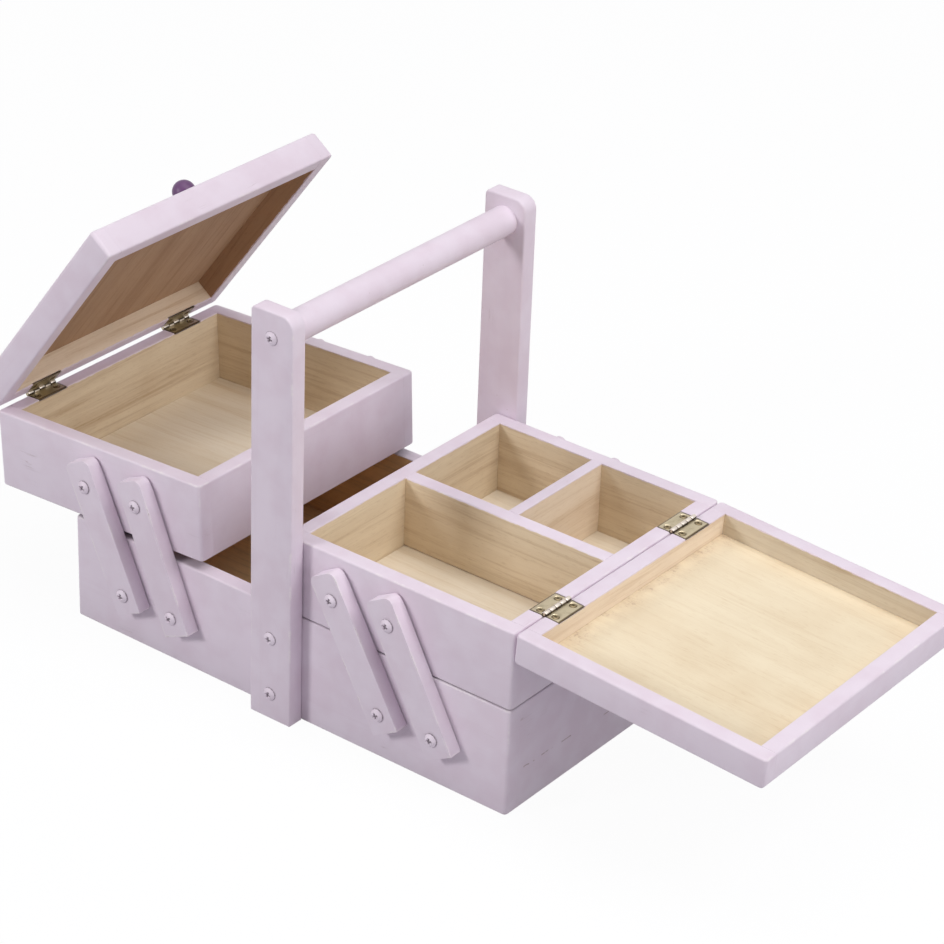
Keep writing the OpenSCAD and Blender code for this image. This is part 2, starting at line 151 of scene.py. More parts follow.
class CarrierView(PropertyGroup):
    """Place of the camera, worked out from the edges of the box in the photograph."""

    lens: plain("Lens", "Focal length in millimetres on a 36 mm wide sensor", 126.1)
    distance: length("Distance", "Distance from the camera to the point it looks at", 1477.0)
    heading: turn("Heading", "Turn of the view from straight at the front", -36.98)
    tilt: turn("Tilt", "Tilt of the view below level", -28.94)
    roll: turn("Roll", "Turn of the picture about the line of sight", 2.23)
    height: length("Height", "Height of the point that the camera looks at", 90.0)
    aside: length("Aside", "How far the camera is moved to the right", 35.0)
    sensor: length("Sensor", "Width of the sensor", 36.0)


def sizes():
    return bpy.context.scene.carrier_sizes


def colours():
    return bpy.context.scene.carrier_colours


class Lie:
    """How a body lies: two directions in the XZ plane, along the box and out of its top."""

    def __init__(self, up):
        self.up = Vector((up.x, 0.0, up.z)).normalized()
        self.along = Vector((self.up.z, 0.0, -self.up.x))
        self.turn = Matrix((self.along, (0.0, 1.0, 0.0), self.up)).transposed()

    def box(self, node):
        """Lowest and highest corner of a CAD node, measured along this body's directions."""
        return self.span(corner.co for corner in frame["nodes"][node].data.vertices)

    def span(self, points):
        local = np.array([self.turn.transposed() @ point for point in points])
        return Vector(local.min(0)), Vector(local.max(0))


def broad_side(node, towards):
    """Normal of the broadest face of a CAD node, on the side that looks towards a direction."""
    face = max(frame["nodes"][node].data.polygons, key=lambda polygon: polygon.area)
    return face.normal * (1 if face.normal.dot(towards) > 0 else -1)


def middle(node):
    low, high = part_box(node)
    return (low + high) / 2


def long_way(node):
    """Direction of the length of a CAD node in the XZ plane, upwards."""
    points = np.array([corner.co for corner in frame["nodes"][node].data.vertices])[:, (0, 2)]
    _, _, ways = np.linalg.svd(points - points.mean(0), full_matrices=False)
    x, z = ways[0] * (1 if ways[0][1] > 0 else -1)
    return Vector((x, 0.0, z))


def lies():
    """The lie of every body, by the body's name."""
    found = {"base": Lie(Vector((0, 0, 1)))}
    for side in SIDES:
        found[side + "_tray"] = Lie(broad_side(side + "_tray_floor", Vector((0, 0, 1))))
        knob = middle(side + "_lid_knob") - middle(side + "_lid_panel")
        found[side + "_lid"] = Lie(broad_side(side + "_lid_panel", knob))
        for place in ("outer", "inner"):
            found[f"{side}_{place}_arms"] = Lie(long_way(f"{side}_{place}_arm_front"))
    return found


LIES = lies()
BODY_OF = {n: body for body, nodes in frame["record"]["behaviour"]["bodies"].items() for n in nodes}


def solids(node):
    """The points of each separate solid in a CAD node, in the same order on each run."""
    work = bmesh.new()
    work.from_mesh(frame["nodes"][node].data)
    bmesh.ops.remove_doubles(work, verts=work.verts, dist=MM / 1000)
    seen = set()
    found = []
    for first in work.verts:
        if first in seen:
            continue
        seen.add(first)
        group = [first]
        for corner in group:
            for edge in corner.link_edges:
                other = edge.other_vert(corner)
                if other not in seen:
                    seen.add(other)
                    group.append(other)
        found.append([corner.co.copy() for corner in group])
    work.free()
    return found


def add_object(name, mesh):
    piece = bpy.data.objects.new(name, mesh)
    bpy.context.scene.collection.objects.link(piece)
    return piece


def dress(piece, node, material):
    """Puts a finished piece in the place of a CAD node, on that node's body."""
    piece.data.materials.clear()
    piece.data.materials.append(material)
    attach(piece, BODY_OF[node])
    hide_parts(node)
    return piece


# The long sides of a box: their place, the way out of the box and the way into it.
LONG_SIDES = (("front", "-y", "+y"), ("rear", "+y", "-y"))
FACES = {"-x": (0, -1), "+x": (0, 1), "-y": (1, -1), "+y": (1, 1), "-z": (2, -1), "+z": (2, 1)}


def on_edge(edge, pair, low, high):
    """Whether an edge of a block lies on both of two named faces of it."""
    for face in pair:
        axis, sign = FACES[face]
        level = high[axis] if sign > 0 else low[axis]
        if any(abs(corner.co[axis] - level) > MM / 100 for corner in edge.verts):
            return False
    return True


def ease_edges(work, picked, radius, segments):
    bmesh.ops.bevel(
        work, geom=picked, offset=radius, segments=segments, profile=0.5, affect="EDGES", clamp_overlap=True
    )


def is_sharp(edge):
    return len(edge.link_faces) == 2 and edge.calc_face_angle() > 0.9


def block(low, high, rounds, eases, default):
    """A block whose edges are rounded to the radii given for pairs of faces, or for one face."""
    work = bmesh.new()
    bmesh.ops.create_cube(work, size=1.0)
    for corner in work.verts:
        corner.co = Vector(high[a] if corner.co[a] > 0 else low[a] for a in range(3))
    for radius, pairs in rounds.items():
        ease_edges(work, [e for e in work.edges if any(on_edge(e, p, low, high) for p in pairs)], radius, 6)
    marked = work.edges.layers.float.new("ease")
    for edge in work.edges:
        if is_sharp(edge):
            found = [radius for radius, faces in eases if any(on_edge(edge, f, low, high) for f in faces)]
            edge[marked] = min(found, default=default)
    for radius in sorted({edge[marked] for edge in work.edges} - {0.0}, reverse=True):
        edges = [edge for edge in work.edges if is_sharp(edge) and edge[marked] == radius]
        ease_edges(work, edges, radius, 3 if radius > 0.3 * MM else 1)
    bmesh.ops.dissolve_degenerate(work, dist=0.001 * MM, edges=work.edges)
    return work


def add_box(work, low, high, ease=0.0):
    made = set(bmesh.ops.create_cube(work, size=1.0)["verts"])
    for corner in made:
        corner.co = Vector(high[a] if corner.co[a] > 0 else low[a] for a in range(3))
    if ease:
        ease_edges(work, [edge for edge in work.edges if edge.verts[0] in made], ease, 2)


def add_barrel(work, axis, radius, start, end, ease=0.0):
    """A cylinder along Y about a point of the XZ plane."""
    turned = Matrix.Translation((axis.x, (start + end) / 2, axis.z)) @ Matrix.Rotation(math.pi / 2, 4, "X")
    made = set(bmesh.ops.create_cone(work, cap_ends=True, segments=32, radius1=radius, radius2=radius,
                                     depth=end - start, matrix=turned)["verts"])
    if ease:
        level = [e for e in work.edges if abs(e.verts[0].co.y - e.verts[1].co.y) < MM / 100]
        ease_edges(work, [edge for edge in level if edge.verts[0] in made], ease, 2)


def add_mesh(name, work):
    """A new object that holds a finished bmesh."""
    mesh = bpy.data.meshes.new(name)
    work.to_mesh(mesh)
    work.free()
    return add_object(name, mesh)


def subtract(piece, tools, overlaps=False):
    """Takes the shapes in a bmesh out of a piece, whose own shapes may overlap."""
    tool = add_mesh("tool", tools)
    cut = piece.modifiers.new("cut", "BOOLEAN")
    cut.operation = "DIFFERENCE"
    cut.solver = "EXACT"
    cut.use_self = overlaps
    cut.object = tool
    apply_modifiers(piece)
    bpy.data.objects.remove(tool)


def apply_modifiers(piece):
    graph = bpy.context.evaluated_depsgraph_get()
    graph.update()
    piece.data = bpy.data.meshes.new_from_object(piece.evaluated_get(graph))
    piece.modifiers.clear()


def smooth(piece, degrees=35.0):
    """Shades a piece smooth, apart from its sharper edges."""
    piece.data.shade_smooth()
    piece.data.set_sharp_from_angle(angle=math.radians(degrees))


def write_vector(mesh, name, values):
    made = mesh.attributes.new(name, "FLOAT_VECTOR", "POINT")
    made.data.foreach_set("vector", np.asarray(values, np.float32).ravel())


def mark_board(piece, low, high, grain, inward, rim, number, hidden_ends=False):
    """Writes each point's place on its board: along the grain, towards the rim and towards the inside."""
    points = np.empty(len(piece.data.vertices) * 3, np.float32)
    piece.data.vertices.foreach_get("co", points)
    centred = points.reshape(-1, 3) - np.array((low + high) / 2)
    half = np.array((high - low) / 2)
    axes = [FACES["+" + grain], FACES[rim], FACES[inward]]
    at = np.stack([centred[:, axis] * sign for axis, sign in axes], 1)
    write_vector(piece.data, "board_at", at)
    # The ends of a board between two others show no worn edges, so they are put out of reach.
    reach = np.array([half[axis] for axis, _ in axes]) + (1.0 if hidden_ends else 0.0, 0.0, 0.0)
    write_vector(piece.data, "board_half", np.tile(reach, (len(at), 1)))
    write_vector(piece.data, "grain_at", at + np.array((0.71, 0.37, 0.53)) * number)


BOARD_NUMBERS = itertools.count(1)


def board(node, grain, inward, rim, finish, rounds=(), between=False, ease=None,
          inner_ease=None, corner=None, cutters=()):
    """Makes one board from its grain, the side that looks inwards and the side that is its rim.

    Both ends of a board that stands between two others are hidden."""
    dims = sizes()
    lie = LIES[BODY_OF[node]]
    low, high = lie.box(node)
    eases = [(dims.inner_edge if inner_ease is None else inner_ease, [(inward,)]),
             (dims.joint_edge, [(sign + grain,) for sign in "-+" if between])]
    if rounds:
        eases.append((dims.joint_edge, [("-x", inward), ("+x", inward)]))
    if not isinstance(corner, dict):
        corner = {dims.corner if corner is None else corner: rounds} if rounds else {}
    piece = add_mesh("shown_" + node, block(low, high, corner, eases, dims.edge if ease is None else ease))
    if cutters:
        tools = bmesh.new()
        for cutter in cutters:
            add_box(tools, *cutter)
        subtract(piece, tools)
    mark_board(piece, low, high, grain, inward, rim, next(BOARD_NUMBERS), between)
    piece.data.transform(lie.turn.to_4x4())
    smooth(piece)
    dress(piece, node, finish)


def sheet(node, inward, finish):
    """Makes a thin floor or panel."""
    board(node, "x", inward, "+y", finish, ease=sizes().joint_edge)


class Value:
    """A number, vector or colour in a node tree, with arithmetic."""

    def __init__(self, tree, socket):
        self.tree = tree
        self.socket = socket

    def parts(self):
        """The three numbers of a vector."""
        return [self.tree.node("SeparateXYZ", {0: self}, n) for n in range(3)]

    def stretched(self, x, y, z):
        return self.tree.node("VectorMath", {0: self, 1: (x, y, z)}, operation="MULTIPLY")

    def ramp(self, start, end, low=0.0, high=1.0):
        """Goes smoothly from low to high while this number goes from start to end."""
        links = {"Value": self, "From Min": start, "From Max": end, "To Min": low, "To Max": high}
        return self.tree.node("MapRange", links, "Result", interpolation_type="SMOOTHSTEP")


def add_arithmetic():
    """Gives Value its operators, with their reflected forms, and a method for each other operation."""
    operators = {"add": "ADD", "sub": "SUBTRACT", "mul": "MULTIPLY", "truediv": "DIVIDE", "pow": "POWER"}
    methods = {"__abs__": "ABSOLUTE", "root": "SQRT", "least": "MINIMUM", "most": "MAXIMUM"}

    def straight(operation):
        return lambda one, other=None: one.tree.node("Math", {0: one, 1: other}, operation=operation)

    def reflected(operation):
        return lambda one, other: one.tree.node("Math", {0: other, 1: one}, operation=operation)

    for name, operation in operators.items():
        methods[f"__{name}__"] = operation
        setattr(Value, f"__r{name}__", reflected(operation))
    for name, operation in methods.items():
        setattr(Value, name, straight(operation))


add_arithmetic()


class Tree:
    """A node tree of a material, of the world or of a modifier."""

    def __init__(self, tree):
        self.tree = tree

    def add(self, kind, links=(), **settings):
        """Adds a node with its settings, then the values or links of its sockets."""
        made = self.tree.nodes.new(kind if "Node" in kind else "ShaderNode" + kind)
        for name, value in settings.items():
            setattr(made, name, value)
        for name, value in dict(links).items():
            if value is not None:
                self.join(value, made.inputs[name])
        return made

    def node(self, kind, links=(), output=0, **settings):
        """Adds a node and gives one of its outputs."""
        return Value(self, self.add(kind, links, **settings).outputs[output])

    def join(self, value, socket):
        if isinstance(value, Value):
            self.tree.links.new(value.socket, socket)
        elif hasattr(value, "__len__") and len(value) == 3 and len(socket.default_value) == 4:
            socket.default_value = (*value, 1.0)
        else:
            socket.default_value = value

    def vector(self, x=0.0, y=0.0, z=0.0):
        return self.node("CombineXYZ", {0: x, 1: y, 2: z})

    def show_white(self, shader, white, share, end):
        """Ends in a shader that camera and glossy rays see mostly as a white one."""
        rays = self.add("LightPath").outputs
        seen = Value(self, rays["Is Camera Ray"]).most(Value(self, rays["Is Glossy Ray"]))
        self.join(self.node("MixShader", {0: seen * share, 1: shader, 2: white}), end.inputs[0])


class Finish(Tree):
    """A material's node tree."""

    def __init__(self, name):
        self.material = bpy.data.materials.new(name)
        self.material.use_nodes = True
        super().__init__(self.material.node_tree)
        self.shader = self.tree.nodes["Principled BSDF"]

    def attribute(self, name):
        return self.node("Attribute", output="Vector", attribute_name=name)

    def board_places(self):
        """Each point's place on its board, half the board's size, and the place in its grain."""
        return [self.attribute(name) for name in ("board_at", "board_half", "grain_at")]

    def place(self):
        return self.node("TexCoord", output="Object")

    def noise(self, at, scale, detail=2.0, roughness=0.5, distortion=0.0):
        links = {"Vector": at, "Scale": scale, "Detail": detail, "Roughness": roughness,
                 "Distortion": distortion}
        return self.node("TexNoise", links, "Fac")

    def drawn_out(self, grain, along, across, *rest):
        """Noise with one scale along the grain and another across it."""
        return self.noise(grain.stretched(along, across, across), 1.0, *rest)

    def specks(self, at, scale, radius, rarity):
        """Small dots, one in some of the cells of a random grid."""
        cells = self.add("TexVoronoi", {"Vector": at, "Scale": scale}).outputs
        chosen = Value(self, cells["Color"]).parts()[0].ramp(rarity, rarity + 0.02)
        return Value(self, cells["Distance"]).ramp(radius, radius / 2) * chosen

    def mix(self, share, first, second):
        """Goes from the first colour to the second."""
        return self.node("Mix", {0: share, 6: first, 7: second}, 2, data_type="RGBA")

    def set(self, **values):
        """Sets or links sockets of the shader; a name's underscores stand for spaces."""
        for name, value in values.items():
            self.join(value, self.shader.inputs[name.replace("_", " ")])

    def done(self, height, distance, strength, **values):
        """Sets the shader's sockets, adds bumps and gives the material."""
        links = {"Height": height, "Distance": distance, "Strength": strength}
        self.set(Normal=self.node("Bump", links, "Normal"), **values)
        return self.material


# Colours of small marks, as linear values.
THIN_EDGE = (0.92, 0.86, 0.86)
CHIP = (0.46, 0.34, 0.36)
# Painted shade for the seam under a tray wall, where it stands on the base.
SEAM_SHADE = (0.08, 0.06, 0.08)
BROWN_STAIN = (0.36, 0.2, 0.12)
# Dark steel at a screw head's rim and in its recess, standing for worn paint and for painted shade.
WORN_STEEL_AND_SHADE = (0.16, 0.13, 0.15)
TARNISH = (0.30, 0.25, 0.16)
# Painted shade round a hinge leaf's rim and in the crease beside its knuckles.
LEAF_RIM_SHADE = (0.07, 0.05, 0.03)
LEAF_CREASE_SHADE = (0.06, 0.045, 0.03)
# Painted shade in the recess of a hinge screw.
RECESS_SHADE = (0.05, 0.04, 0.02)
KNOB_CLOUD = (0.11, 0.05, 0.15)

PAINT_SHINE = 0.35
PAINT_DEPTH = 0.12 * MM
BARE_ROUGHER = 0.26


def bare_wood(finish, grain, light, dark, streaks=1.0):
    """Colour and height of bare wood, with wavy streaks and fine fibres along the grain."""
    broad = finish.drawn_out(grain, 5.0, 60.0, 4.0, 0.55, 0.6)
    lines = finish.drawn_out(grain, 11.0, 330.0, 5.0, 0.6, 0.9)
    fibres = finish.drawn_out(grain, 90.0, 2600.0, 3.0, 0.6)
    flecks = finish.drawn_out(grain, 240.0, 1300.0, 2.0, 0.6)
    blotch = finish.noise(grain, 34.0, 3.0)
    share = (broad.ramp(0.38, 0.72) + lines.ramp(0.46, 0.74)) * (0.42 * streaks)
    share = share + fibres.ramp(0.5, 0.75) * 0.14 + blotch.ramp(0.4, 0.8) * (0.42 - 0.3 * streaks)
    share = share + flecks.ramp(0.56, 0.72) * 0.2
    return finish.mix(share, light, dark), lines * 0.5 + fibres * 0.7 + flecks * 0.5


def paint(finish, at, half, grain, crack=None):
    """Colour, roughness and height of brushed paint, worn thin along the outer edges.

    A crack is a height on the board, where a broken line runs along the grain."""
    tints = colours()
    x, y = [h - abs(p) for h, p in zip(half.parts()[:2], at.parts()[:2])]
    z = half.parts()[2] + at.parts()[2]
    edge = x.least(y).most(x.most(y).least(z))
    world = finish.place()
    cloud = finish.noise(world, 24.0, 3.0) * 0.55 + finish.noise(world, 95.0, 3.0) * 0.45
    brush = finish.drawn_out(grain, 70.0, 1500.0, 3.0, 0.6)
    skin = finish.noise(world, 900.0, 2.0)
    telegraph = finish.drawn_out(grain, 9.0, 300.0, 4.0, 0.6, 0.8)
    ragged = finish.noise(grain, 420.0, 4.0, 0.65) - 0.5
    patches = finish.noise(world, 75.0, 3.0).ramp(0.48, 0.62)
    thin = (edge + ragged * (2.2 * MM)).ramp(1.1 * MM, 0.1 * MM) * patches
    chips = (edge + ragged * (2.6 * MM)).ramp(0.05 * MM, -0.25 * MM) * patches.ramp(0.6, 1.0)
    split = abs(finish.drawn_out(grain, 7.0, 210.0, 3.0) - 0.5)
    splits = split.ramp(0.006, 0.001) * finish.noise(grain, 48.0, 2.0).ramp(0.62, 0.72)
    if crack is not None:
        along, up, _ = at.parts()
        wander = finish.noise(grain, 130.0, 3.0) - 0.5
        line = abs(up - crack + along * 0.04 + wander * (2.4 * MM)).ramp(0.42 * MM, 0.12 * MM)
        broken = finish.drawn_out(grain, 190.0, 30.0, 1.0).ramp(0.5, 0.56)
        splits = splits.most(line * broken * 2.0)
    specks = finish.specks(world, 150.0, 0.05, 0.9)
    colour = finish.mix(cloud.ramp(0.38, 0.66, 0.0, 0.7), tints.paint, tints.paint_thin)
    colour = finish.mix(telegraph.ramp(0.56, 0.74, 0.0, 0.25), colour, tints.paint_thin)
    colour = finish.mix(thin * 0.5, colour, THIN_EDGE)
    colour = finish.mix(chips * 0.7 + splits * 0.4 + specks * 0.5, colour, CHIP)
    height = brush * 0.4 + skin * 0.25 + telegraph * 0.6 - splits * 1.4 - chips * 1.5 - specks
    return colour, 0.44 + cloud * 0.16, height


def part_bare(finish, bare, painted, wood):
    """A material that is bare wood where the share is 1, and painted elsewhere."""
    colour, roughness, height = painted
    wood_colour, fibres = wood
    return finish.done(height * (1.0 - bare) + fibres * bare, PAINT_DEPTH, 0.6,
                       Base_Color=finish.mix(bare, colour, wood_colour),
                       Roughness=roughness + bare * BARE_ROUGHER, Specular_IOR_Level=PAINT_SHINE)


def painted_board(name, bare_sides, light, dark, crack=None, foot_shade=False):
    """A painted board whose inner side, both sides or no side is bare wood.

    A dark foot is painted shade along the seam under a board that stands on another."""
    finish = Finish(name)
    at, half, grain = finish.board_places()
    colour, roughness, height = paint(finish, at, half, grain, crack)
    along, up, inward = at.parts()
    half_along, half_up, half_in = half.parts()
    if foot_shade:
        # Painted shade: a dark band along the board's foot, in the seam where it stands on another.
        colour = finish.mix((half_up + up).ramp(0.6 * MM, 0.2 * MM, 0.0, 0.9), colour, SEAM_SHADE)
    if not bare_sides:
        return finish.done(height, PAINT_DEPTH, 0.6, Base_Color=colour, Roughness=roughness,
                           Specular_IOR_Level=PAINT_SHINE)
    depth = half_in - (abs(inward) if bare_sides == 2 else inward)
    ragged = finish.noise(grain, 260.0, 3.0) - 0.5
    wrap = sizes().paint_wrap
    below_rim = (half_up - up + ragged * (1.2 * MM)).ramp(wrap, wrap + 0.15 * MM)
    # The inner side stays painted at a board's own end, which another board's end hides.
    from_end = (half_along - abs(along)).ramp(1.0 * MM, 2.0 * MM)
    bare = depth.ramp(0.34 * MM, 0.22 * MM) * below_rim * from_end
    return part_bare(finish, bare, (colour, roughness, height), bare_wood(finish, grain, light, dark))


def panel_board(name, light, dark, streaks=1.0, stain=None):
    """A thin board that is bare on its inner side and painted on its outer side.

    A stain is the sign of the end along which brown specks lie on the bare side."""
    finish = Finish(name)
    at, half, grain = finish.board_places()
    wood, fibres = bare_wood(finish, grain, light, dark, streaks)
    if stain is not None:
        from_end = half.parts()[0] - at.parts()[0] * stain
        spots = finish.noise(grain, 620.0, 4.0, 0.7).ramp(0.5, 0.68)
        cloudy = finish.noise(grain, 110.0, 3.0).ramp(0.35, 0.7)
        stained = from_end.ramp(13.0 * MM, 1.0 * MM) * cloudy * (0.2 + spots * 0.45)
        wood = finish.mix(stained, wood, BROWN_STAIN)
    bare = at.parts()[2].ramp(-0.4 * MM, 0.4 * MM)
    return part_bare(finish, bare, paint(finish, at, half, grain), (wood, fibres))


def painted_metal(name):
    """Paint over a screw head, darkened at its rim and in its recess, partly by steel showing through worn
    paint and partly by painted shade.
    """
    finish = Finish(name)
    at = finish.place()
    cloud = finish.noise(at, 160.0, 3.0)
    grit = finish.noise(at, 1400.0, 3.0)
    worn = finish.attribute("wear").parts()[0]
    # Worn paint and painted shade: the head darkens at its rim and in its recess.
    shown = (worn + (grit - 0.5) * 0.9).ramp(0.45, 0.8)
    colour = finish.mix(cloud.ramp(0.3, 0.8, 0.0, 0.6), colours().paint, colours().paint_thin)
    return finish.done(grit + cloud, 0.15 * MM, 0.5, Base_Color=finish.mix(shown * 0.8, colour, WORN_STEEL_AND_SHADE),
                       Roughness=0.42 + cloud * 0.15)


def nickel(name, plate, shade_at=None):
    """Dull plated metal with fine rolling marks, with painted shade along a leaf's rim, beside its knuckles
    and in a screw's recess, and a painted highlight on the knuckles.
    """
    finish = Finish(name)
    at = finish.place()
    marks = finish.noise(at.stretched(1.0, 14.0, 1.0), 260.0, 4.0, 0.6)
    tarnish = finish.noise(at, 210.0, 4.0, 0.6)
    colour = finish.mix(tarnish.ramp(0.45, 0.75, 0.0, 0.6), plate, TARNISH)
    if shade_at == "rim":
        along, across, up = finish.attribute("board_at").parts()
        half_along, half_across, leaf_top = finish.attribute("board_half").parts()
        rim = (half_along + along).least(half_across - abs(across))
        raised = up - leaf_top
        # Painted shade: the leaf darkens towards its edge away from the knuckles and towards its two ends,
        # where it meets its seat.
        colour = finish.mix(rim.ramp(0.7 * MM, 0.25 * MM, 0.0, 0.85), colour, LEAF_RIM_SHADE)
        # Painted shade: a dark band in the crease where a knuckle rises from the leaf.
        colour = finish.mix(raised.ramp(0.04 * MM, 0.1 * MM), colour, LEAF_CREASE_SHADE)
        # Painted highlight: the knuckles above the crease get the lighter knuckle plating.
        colour = finish.mix(raised.ramp(0.7 * MM, 1.1 * MM), colour, colours().knuckle)
    if shade_at == "recess":
        # Painted shade: a hinge screw goes nearly black in its recess and round the rim of its head.
        recess = finish.attribute("wear").parts()[0].ramp(0.1, 0.5, 0.0, 0.9)
        colour = finish.mix(recess, colour, RECESS_SHADE)
    return finish.done(marks + tarnish * 0.6, 0.05 * MM, 0.5, Base_Color=colour,
                       Roughness=0.22 + marks * 0.2 + tarnish * 0.12, Metallic=1.0)


def knob_paint(name):
    """Satin purple paint on a turned ball."""
    finish = Finish(name)
    at = finish.place()
    cloud = finish.noise(at, 300.0, 3.0)
    skin = finish.noise(at, 1500.0, 3.0)
    colour = finish.mix(cloud.ramp(0.4, 0.8, 0.0, 0.5), colours().knob, KNOB_CLOUD)
    return finish.done(skin, 0.06 * MM, 0.4, Base_Color=colour, Roughness=0.28 + skin * 0.16,
                       Specular_IOR_Level=0.3)


def make_materials():
    tints = colours()
    return {
        "wall": painted_board("painted_wall", 1, tints.bare, tints.streak, foot_shade=True),
        "divider": painted_board("painted_divider", 2, tints.bare, tints.streak),
        "pale_divider": painted_board("painted_pale_divider", 2, tints.pale, tints.pale_streak),
        "lid_wall": painted_board("painted_lid_wall", 1, tints.pale, tints.pale_streak),
        # Painted shade: the right lid's long walls use the darker, shaded copy of the lid wood.
        "right_shaded_lid_side": painted_board("painted_right_shaded_lid_side", 1, tints.shaded_lid_side, tints.shaded_lid_streak),
        # Painted shade: the left lid's long walls use the darker, shaded copy of the lid wood.
        "left_shaded_lid_side": painted_board("painted_left_shaded_lid_side", 1, tints.shaded_side, tints.shaded_streak),
        "solid": painted_board("painted_all_round", 0, tints.bare, tints.streak),
        "base_wall": painted_board("painted_base_wall", 1, tints.base_wood, tints.streak),
        "cracked_end": painted_board("cracked_end", 1, tints.base_wood, tints.streak, -9.0 * MM),
        "floor": panel_board("plywood_floor", tints.ply, tints.ply_streak),
        "base_floor": panel_board("plywood_base_floor", tints.base_wood, tints.streak),
        "right_panel": panel_board("right_lid_panel_board", tints.panel, tints.panel_streak, 0.5, 1),
        # Painted shade: the left lid's panel uses the darker, shaded copy of the panel wood.
        "left_panel": panel_board("left_lid_panel_board", tints.shaded_panel, tints.shaded_streak),
        "screw": painted_metal("painted_screw"),
        "nickel": nickel("dull_nickel", tints.nickel),
        "leaf": nickel("dull_nickel_leaf", tints.nickel, "rim"),
        "hinge_screw": nickel("dull_hinge_screw", tints.screw_metal, "recess"),
        "knob": knob_paint("knob_paint"),
    }


MATERIALS = {}


def material(name):
    if not MATERIALS:
        MATERIALS.update(make_materials())
    return MATERIALS[name]


def towards_middle(side):
    """The face of a side's boards that looks towards the middle of the carrier, and its opposite."""
    return ("+x", "-x") if side == "left" else ("-x", "+x")


class CARRIER_OT_base(Operator):
    """Makes the four walls and the floor of the base box"""

    bl_idname = "carrier.base"
    bl_label = "Base box"

    def execute(self, context):
        for place, out, inward in LONG_SIDES:
            board("base_" + place, "x", inward, "+z", material("base_wall"),
                  rounds=[("-x", out), ("+x", out)])
        for side, finish in zip(SIDES, ("base_wall", "cracked_end")):
            board(f"base_{side}_end", "y", towards_middle(side)[0], "+z", material(finish), between=True)
        sheet("base_floor", "+z", material("base_floor"))
        return {"FINISHED"}


def hinge_seats(side, on_lid):
    """Boxes that a rim loses to its hinge leaves, along the directions of the rim's body."""
    node = f"{side}_hinge_{'lid' if on_lid else 'tray'}_leaves"
    lie = LIES[BODY_OF[node]]
    rim = lie.box(f"{side}_{'lid_hinge' if on_lid else 'tray_outer'}_end")
    gap = sizes().seat_gap
    seats = []
    for points in solids(node):
        low, high = lie.span(points)
        if OUTWARD[side] > 0:
            low.x, high.x = low.x - gap, rim[1].x + gap
        else:
            low.x, high.x = rim[0].x - gap, high.x + gap
        if on_lid:
            low.z, high.z = rim[0].z - gap, high.z + gap / 2
        else:
            low.z, high.z = low.z - gap / 2, rim[1].z + gap
        low.y, high.y = low.y - gap, high.y + gap
        seats.append((low, high))
    return seats


class CARRIER_OT_trays(Operator):
    """Makes the boards and the floors of both trays, and the dividers of the right one"""

    bl_idname = "carrier.trays"
    bl_label = "Trays"

    def execute(self, context):
        for side in SIDES:
            inner, outer = towards_middle(side)
            for place, out, inward in LONG_SIDES:
                board(f"{side}_tray_{place}", "x", inward, "+z", material("wall"),
                      rounds=[("-x", out), ("+x", out)])
            board(side + "_tray_inner_end", "y", outer, "+z", material("wall"), between=True)
            board(side + "_tray_outer_end", "y", inner, "+z", material("wall"), between=True,
                  cutters=hinge_seats(side, False))
            sheet(side + "_tray_floor", "+z", material("floor"))
        board("right_tray_long_divider", "x", "+y", "+z", material("divider"), between=True)
        board("right_tray_cross_divider", "y", "+x", "+z", material("pale_divider"), between=True)
        return {"FINISHED"}


class CARRIER_OT_lids(Operator):
    """Makes the four boards and the inset panel of both lids"""

    bl_idname = "carrier.lids"
    bl_label = "Lids"

    def execute(self, context):
        for side in SIDES:
            inner, outer = towards_middle(side)
            for place, out, inward in LONG_SIDES:
                board(f"{side}_lid_{place}", "x", inward, "-z", material(side + "_shaded_lid_side"),
                      rounds=[("-x", out), ("+x", out), ("+z", out), ("-x", "+z"), ("+x", "+z")])
            board(side + "_lid_free_end", "y", outer, "-z", material("lid_wall"), between=True,
                  rounds=[(inner, "+z")])
            board(side + "_lid_hinge_end", "y", inner, "-z", material("lid_wall"), between=True,
                  rounds=[(outer, "+z")], cutters=hinge_seats(side, True))
            sheet(side + "_lid_panel", "-z", material(side + "_panel"))
        return {"FINISHED"}


class CARRIER_OT_arms(Operator):
    """Makes the eight link arms"""

    bl_idname = "carrier.arms"
    bl_label = "Link arms"

    def execute(self, context):
        for side in SIDES:
            for place in ("outer", "inner"):
                for end, _, inward in LONG_SIDES:
                    board(f"{side}_{place}_arm_{end}", "z", inward, "+x", material("solid"),
                          rounds=[("-x", "+z"), ("+x", "+z")], corner=sizes().arm_corner,
                          ease=sizes().arm_edge, inner_ease=sizes().edge)
        return {"FINISHED"}


def lathe(name, profile, sides, turn_to):
    """A closed turned shape from a profile of radius and height, put in place by a matrix."""
    work = bmesh.new()
    rings = []
    for radius, height in profile:
        if radius < MM / 1e4:
            rings.append([work.verts.new((0.0, 0.0, height))])
            continue
        angles = [2 * math.pi * n / sides for n in range(sides)]
        rings.append([work.verts.new((radius * math.cos(a), radius * math.sin(a), height)) for a in angles])
    for lower, upper in zip(rings, rings[1:]):
        for n in range(sides):
            m = (n + 1) % sides
            below = [lower[n % len(lower)], lower[m % len(lower)]]
            above = [upper[m % len(upper)], upper[n % len(upper)]]
            work.faces.new(list(dict.fromkeys(below + above)))
    bmesh.ops.recalc_face_normals(work, faces=work.faces)
    work.transform(turn_to)
    piece = add_mesh(name, work)
    smooth(piece)
    return piece


BAR_NUMBER = 90


